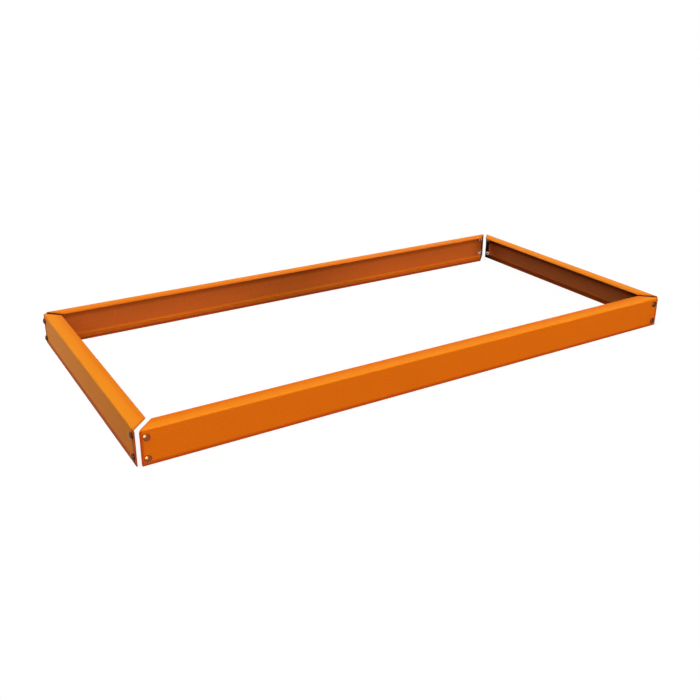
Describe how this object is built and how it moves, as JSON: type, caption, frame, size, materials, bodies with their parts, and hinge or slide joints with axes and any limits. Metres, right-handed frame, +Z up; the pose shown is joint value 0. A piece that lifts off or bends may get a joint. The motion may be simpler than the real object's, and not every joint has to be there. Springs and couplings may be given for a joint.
{
  "type": "boltless shelf frame",
  "caption": "Open rectangular shelf frame of a boltless rack: folded steel channels and angles with mitred flanges, and shoulder rivets that hang in post keyholes.",
  "frame": {"origin": "middle of the frame, level with the lower edges that it stands on", "axes": "+X along the long beams to the right, +Y from the front beam to the back beam, +Z up"},
  "size_m": [1.008, 0.508, 0.055],
  "materials": {
    "orange_powder_coat": "orange powder coat, satin, with a fine orange-peel texture",
    "zinc_plated_steel": "dark zinc-plated steel, smooth domed heads, the closed tails bright"
  },
  "bodies": {
    "root": {"front_beam": "orange_powder_coat", "front_beam_left_rivets": "zinc_plated_steel", "front_beam_right_rivets": "zinc_plated_steel", "back_beam": "orange_powder_coat", "back_beam_left_rivets": "zinc_plated_steel", "back_beam_right_rivets": "zinc_plated_steel", "left_beam": "orange_powder_coat", "left_beam_front_rivets": "zinc_plated_steel", "left_beam_back_rivets": "zinc_plated_steel", "right_beam": "orange_powder_coat", "right_beam_front_rivets": "zinc_plated_steel", "right_beam_back_rivets": "zinc_plated_steel"}
  },
  "joints": []
}
